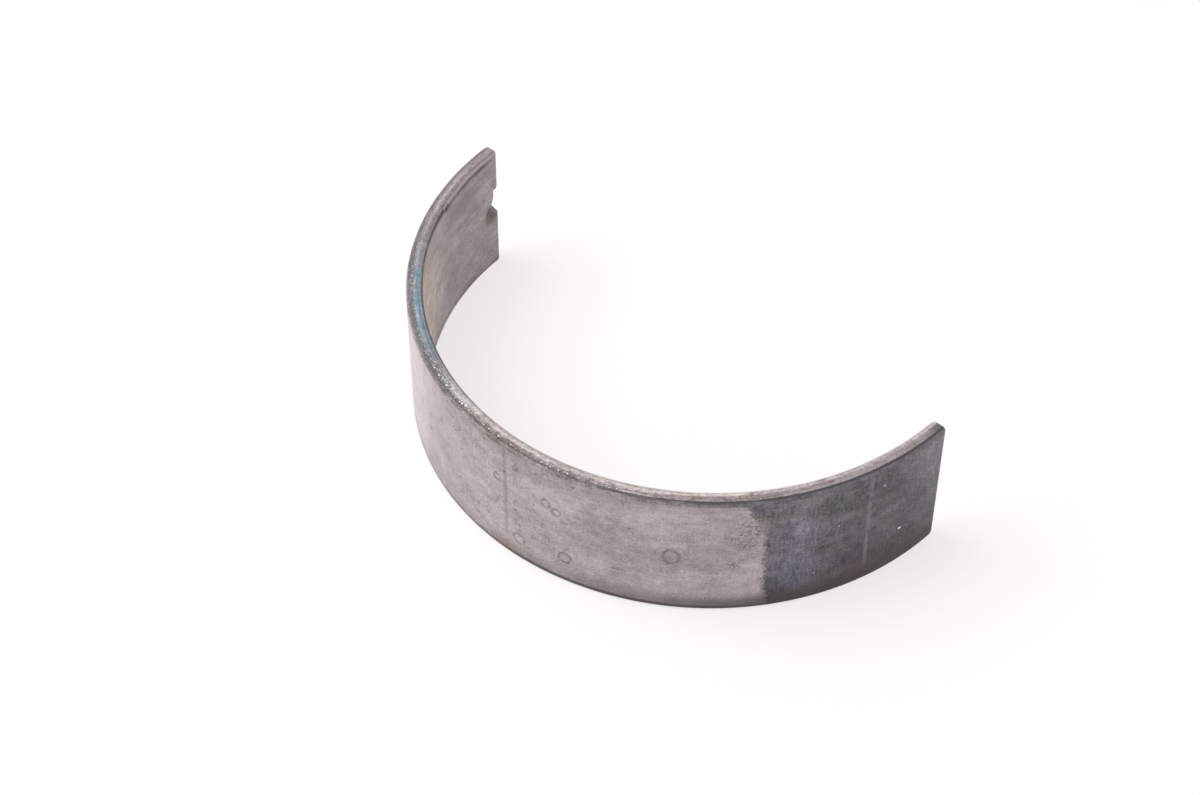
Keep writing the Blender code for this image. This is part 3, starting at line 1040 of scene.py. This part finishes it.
def bore_lining():
    """Grey soft lining of the bore, polished by running, with a tan stain, and dirt and painted
    shade in the hollow behind the lug.
    """
    material, w, shader = new_material("bore_lining", metallic=0.6)
    place = w.place()
    along, up, _ = w.parts(place)
    tone = w.group(
        "tone",
        place=place,
        clouds=0.38,
        blotches=0.36,
        specks=0.25,
        grain=0.3,
        streaks=0.2,
        hatching=0.08,
        seed=13.0,
    )["Tone"]
    tone = w.times(
        tone,
        w.range(along, -34.0, -30.0, 0.98, 1.06),
        w.range(up, 0.5, 6.0, 0.92, 1.0),
        w.range(up, 9.0, 13.0, 1.0, 0.92),
    )
    colour = w.toned(LINING, tone)
    olive = w.group(
        "mottle", place=place, size=1.7, stretch=2.2, low=0.5, high=0.68, seed=21.0
    )["Mask"]
    colour = w.stain(colour, olive, LINING_OLIVE, strength=0.35)
    stain = w.spot(place, (-35.5, 11.2, WALL), (3.0, 0.9, THROUGH))
    colour = w.stain(colour, stain, LINING_STAIN, strength=0.85)
    tan = w.spot(place, (-24.5, 7.0, WALL), (4.2, THROUGH, THROUGH), softness=0.75)
    tan = w.times(tan, w.range(w.noise(place, 0.7, 4.0), 0.3, 0.65, 0.4, 1.0))
    colour = w.mix(tan, colour, w.toned(LINING_TAN, tone))

    above_nick = w.range(along, NICK_ALONG + 0.2, NICK_ALONG - 0.2)
    # Dark line along the bore's upper edge: dirt and painted shade in the edge break, lower and
    # wider past the nick toward the lug end
    crease_height = w.range(above_nick, 0.0, 1.0, WIDTH - 0.05, WIDTH - 0.36, smooth=False)
    crease_width = w.range(above_nick, 0.0, 1.0, 0.08, 0.14)
    crease = w.stripe(up, crease_height, half_width=crease_width, softness=0.23)
    crease = w.times(crease, w.range(along, -3.0, -12.0, 0.0, 0.88), w.range(along, -41.4, -39.2))
    breaks = w.noise(w.scaled(place, (0.8, 2.0, 2.0)), 1.0, 2.0)
    crease = w.times(crease, w.range(breaks, 0.3, 0.5, 0.5, 1.0))
    colour = w.mix(crease, colour, LINING_CREASE_DIRT_AND_SHADE)
    lip = w.most(above_nick, w.range(along, -6.0, 2.0))
    lip = w.times(lip, w.range(up, WIDTH - 0.24, WIDTH - 0.08))
    colour = w.mix(w.times(lip, 0.7), colour, w.mix(above_nick, LIP_BRIGHT, LIP_DULL))
    torn = w.spot(place, (NICK_ALONG + 1.3, WIDTH - 0.22, WALL), (1.5, 0.26, THROUGH))
    colour = w.stain(colour, torn, LINING_TORN, strength=0.75)
    nick = w.spot(place, (NICK_ALONG, WIDTH - 0.22, WALL), (0.6, 0.4, THROUGH))
    colour = w.stain(colour, nick, NICK_BOTTOM, strength=0.85)
    burr = w.spot(place, (NICK_ALONG + 0.05, WIDTH - 0.04, WALL), (0.3, 0.17, THROUGH))
    colour = w.stain(colour, burr, NICK_BURR, strength=0.85)
    # Painted shade along the lowest millimetre of the bore, by the floor
    low_edge_shade = w.range(up, 1.0, 0.15, 0.0, 0.45)
    colour = w.mix(low_edge_shade, colour, LINING_FOOT_SHADE)
    # Dirt and painted shade on the lower flank of the hollow behind the lug
    hollow_dirt_and_shade = w.spot(place, (HOLLOW_ALONG, 6.2, WALL), (0.9, 0.75, THROUGH), softness=0.6)
    colour = w.stain(colour, hollow_dirt_and_shade, HOLLOW_DIRT_AND_SHADE, strength=0.75)
    w.put(shader.inputs["Base Color"], colour)
    w.put(shader.inputs["Roughness"], w.range(tone, 0.8, 1.2, 0.46, 0.36))
    w.put(shader.inputs["Normal"], w.bump(tone, distance=0.01 * MM))
    return material


def end_steel():
    """Parting faces: broached across the wall, a little rusty."""
    material, w, shader = new_material("end_steel", metallic=0.6)
    place = w.place()
    _, up, deep = w.parts(place)
    stroke = w.vector(w.times(up, 0.4), w.times(deep, 9.0), 0.0)
    lines = w.noise(stroke, 1.0, 3.0)
    rust = w.group("mottle", place=place, size=0.9, low=0.45, high=0.7)["Mask"]
    colour = w.mix(lines, END_DARK_STROKE, END_LIGHT_STROKE)
    colour = w.stain(colour, rust, END_RUST, strength=0.5)
    w.put(shader.inputs["Base Color"], colour)
    w.put(shader.inputs["Roughness"], w.range(rust, 0.0, 1.0, 0.4, 0.6))
    w.put(shader.inputs["Normal"], w.bump(lines, distance=0.015 * MM))
    return material


# ---------------------------------------------------------------- the shell in place

shell = build_shell()
for finish in (bore_lining(), side_steel(), edge_steel(), back_steel(), end_steel()):
    shell.data.materials.append(finish)
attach(shell, "root")
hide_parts("bearing_shell")


# ---------------------------------------------------------------- floor, light and camera

FLOOR_HALF = 3.0
FLOOR_GLOW_SHARE = 0.73
WORLD_LIGHT = 0.66
WORLD_SEEN = 1.0
KEY_PLACE = (-0.33, -0.28, 0.67)
KEY_SIZE = (0.55, 0.55)
KEY_POWER = 5.3
LENS = 81.1866
CAMERA_PLACE = (0.1076200, -0.1212361, 0.1820590)
CAMERA_TURN = (0.7516273, -0.0021362, 0.7295118)


def seen_directly(w):
    """1 for the camera and for what metal and glass mirror, 0 for light that falls on things."""
    path = w.nodes.new("ShaderNodeLightPath")
    seen = w.most(path.outputs["Is Camera Ray"], path.outputs["Is Glossy Ray"])
    return w.most(seen, path.outputs["Is Transmission Ray"])


def make_floor():
    """A plain pale floor that keeps the shell's shadow."""
    data = bpy.data.meshes.new("floor")
    half = FLOOR_HALF
    corners = [(-half, -half, 0), (half, -half, 0), (half, half, 0), (-half, half, 0)]
    data.from_pydata(corners, [], [(0, 1, 2, 3)])
    floor = bpy.data.objects.new("floor", data)
    bpy.context.scene.collection.objects.link(floor)
    material = bpy.data.materials.new("floor_white")
    material.use_nodes = True
    w = Wiring(material.node_tree)
    shader = w.nodes["Principled BSDF"]
    shader.inputs["Base Color"].default_value = FLOOR_COLOUR
    shader.inputs["Roughness"].default_value = 0.8
    shader.inputs["Specular IOR Level"].default_value = 0.0
    white = w.nodes.new("ShaderNodeEmission")
    lifted = w.nodes.new("ShaderNodeMixShader")
    white.inputs["Color"].default_value = FLOOR_GLOW
    w.put(lifted.inputs[0], w.times(seen_directly(w), FLOOR_GLOW_SHARE))
    w.put(lifted.inputs[1], shader.outputs[0])
    w.put(lifted.inputs[2], white.outputs[0])
    w.put(w.nodes["Material Output"].inputs["Surface"], lifted.outputs[0])
    data.materials.append(material)


def make_world():
    """White surroundings, seen by the camera and by the metal, and a plainer light from them."""
    world = bpy.data.worlds.new("studio")
    bpy.context.scene.world = world
    world.use_nodes = True
    w = Wiring(world.node_tree)
    background = w.nodes["Background"]
    seen = seen_directly(w)
    w.put(background.inputs["Color"], w.mix(seen, STUDIO_LIGHT, WHITE))
    strength = w.range(seen, 0.0, 1.0, WORLD_LIGHT, WORLD_SEEN, smooth=False)
    w.put(background.inputs["Strength"], strength)


def add_softbox(name, place, aim, size, power):
    """A soft rectangular lamp that points at its aim."""
    light = bpy.data.lights.new(name, "AREA")
    light.shape = "RECTANGLE"
    light.size, light.size_y = size
    light.energy = power
    lamp = bpy.data.objects.new(name, light)
    lamp.location = place
    lamp.rotation_euler = (Vector(aim) - Vector(place)).to_track_quat("-Z", "Y").to_euler()
    bpy.context.scene.collection.objects.link(lamp)


def make_camera():
    """The camera stands above the crown side, toward the plain end."""
    data = bpy.data.cameras.new("camera")
    data.sensor_width = 36.0
    data.lens = LENS
    data.clip_start = 0.01
    camera = bpy.data.objects.new("camera", data)
    camera.location = CAMERA_PLACE
    camera.rotation_euler = Euler(CAMERA_TURN)
    bpy.context.scene.collection.objects.link(camera)
    bpy.context.scene.camera = camera


make_floor()
make_world()
add_softbox("key", KEY_PLACE, (0, 0, 0), KEY_SIZE, KEY_POWER)
make_camera()
bpy.context.scene.view_settings.view_transform = "Standard"
